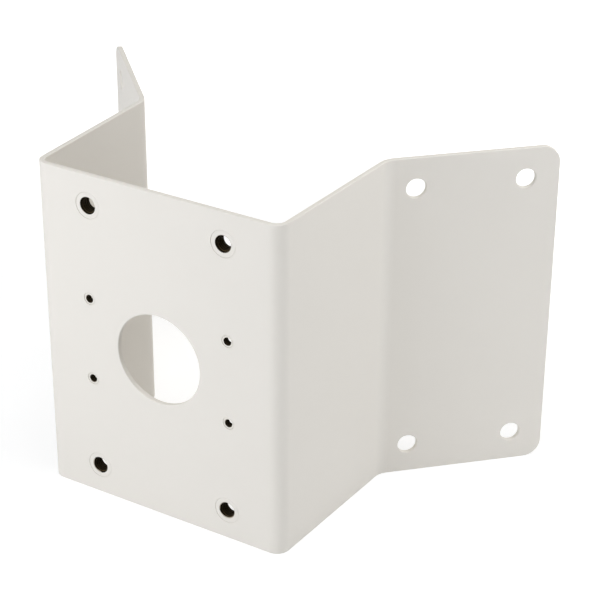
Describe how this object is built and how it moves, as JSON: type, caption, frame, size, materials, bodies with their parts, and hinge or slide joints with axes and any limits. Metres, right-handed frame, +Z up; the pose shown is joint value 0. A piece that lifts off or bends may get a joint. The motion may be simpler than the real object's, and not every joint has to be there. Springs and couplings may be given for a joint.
{
  "type": "camera corner bracket",
  "caption": "Folded steel bracket that holds a wall camera on the outside corner of a building, with threaded holes and a cable hole in its front plate.",
  "frame": {"origin": "under the middle of the bracket's box, on the surface that its lower edge stands on", "axes": "+Z up, the front plate faces -Y, and +X is to the right for someone who faces the front plate. The bracket is the same on both sides of the YZ plane."},
  "size_m": [0.2512, 0.1438, 0.165],
  "materials": {
    "coated_steel": "satin off-white powder coat",
    "nut_steel": "dark threads, coated outside"
  },
  "bodies": {
    "root": {"corner_plate": "coated_steel", "large_clinch_nuts": "nut_steel", "small_clinch_nuts": "nut_steel"}
  },
  "joints": []
}
